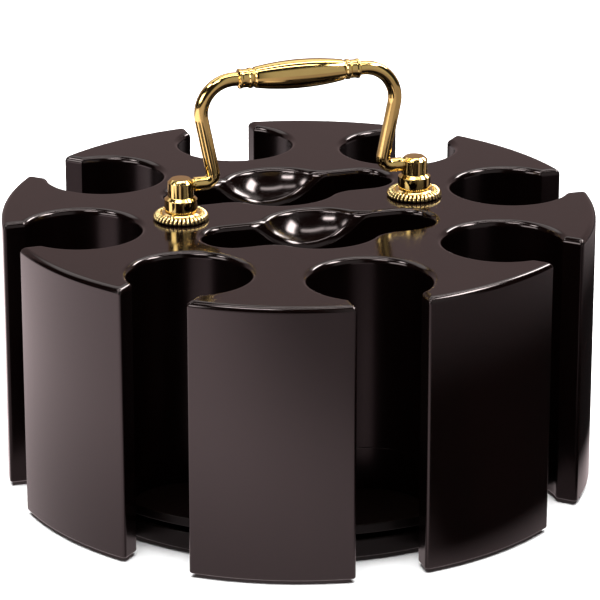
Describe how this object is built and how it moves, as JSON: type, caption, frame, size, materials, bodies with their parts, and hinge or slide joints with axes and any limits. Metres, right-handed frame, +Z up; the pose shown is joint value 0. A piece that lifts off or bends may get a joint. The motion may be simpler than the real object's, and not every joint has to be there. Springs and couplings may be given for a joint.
{
  "type": "poker chip carousel",
  "caption": "Round lacquered wood carousel with open-fronted chip slots around the rim, card slots with thumb scoops, a brass swing handle and a spinning base.",
  "frame": {"origin": "on the table under the spin axis, at the centre of the bounding box's bottom", "axes": "+Z up along the spin axis, +X along the handle's pivot line from the left post to the right post, +Y from the near card slot to the far one"},
  "size_m": [0.2146, 0.2146, 0.1578],
  "materials": {
    "lacquered_wood": "espresso stain under glossy lacquer",
    "dark_board": "dark painted fibreboard, satin",
    "polished_brass": "polished, lacquered",
    "zinc_steel": "zinc plated",
    "foot_rubber": "matte"
  },
  "bodies": {
    "base": {"base_disc": "dark_board", "bearing_lower_plate": "zinc_steel", "base_screw_1": "zinc_steel", "base_screw_2": "zinc_steel", "base_screw_3": "zinc_steel", "base_screw_4": "zinc_steel", "foot_pad_1": "foot_rubber", "foot_pad_2": "foot_rubber", "foot_pad_3": "foot_rubber", "foot_pad_4": "foot_rubber", "foot_pad_5": "foot_rubber", "foot_pad_6": "foot_rubber"},
    "bearing_cage": {"ball_cage": "zinc_steel", "bearing_ball_1": "zinc_steel", "bearing_ball_2": "zinc_steel", "bearing_ball_3": "zinc_steel", "bearing_ball_4": "zinc_steel", "bearing_ball_5": "zinc_steel", "bearing_ball_6": "zinc_steel", "bearing_ball_7": "zinc_steel", "bearing_ball_8": "zinc_steel", "bearing_ball_9": "zinc_steel", "bearing_ball_10": "zinc_steel", "bearing_ball_11": "zinc_steel", "bearing_ball_12": "zinc_steel"},
    "rack": {"rack_upper_block": "lacquered_wood", "rack_lower_block": "lacquered_wood", "floor_board": "dark_board", "floor_screw_1": "zinc_steel", "floor_screw_2": "zinc_steel", "floor_screw_3": "zinc_steel", "floor_screw_4": "zinc_steel", "bearing_upper_plate": "zinc_steel", "turntable_screw_1": "zinc_steel", "turntable_screw_2": "zinc_steel", "turntable_screw_3": "zinc_steel", "turntable_screw_4": "zinc_steel", "left_rosette": "polished_brass", "left_post": "polished_brass", "left_hanger_bolt": "zinc_steel", "right_rosette": "polished_brass", "right_post": "polished_brass", "right_hanger_bolt": "zinc_steel"},
    "handle": {"bail": "polished_brass"}
  },
  "joints": [
    {"name": "rack_spin", "type": "hinge", "parent": "base", "child": "rack", "pos_m": [0, 0, 0.0087], "axis": [0, 0, 1], "continuous": true},
    {"name": "cage_spin", "type": "hinge", "parent": "base", "child": "bearing_cage", "pos_m": [0, 0, 0.0087], "axis": [0, 0, 1], "continuous": true},
    {"name": "bail_swing", "type": "hinge", "parent": "rack", "child": "handle", "pos_m": [0, 0, 0.1146], "axis": [1, 0, 0], "range_deg": [-100, 100]}
  ],
  "couplings": [
    {"joint": "cage_spin", "follows": "rack_spin", "ratio": 0.5}
  ]
}
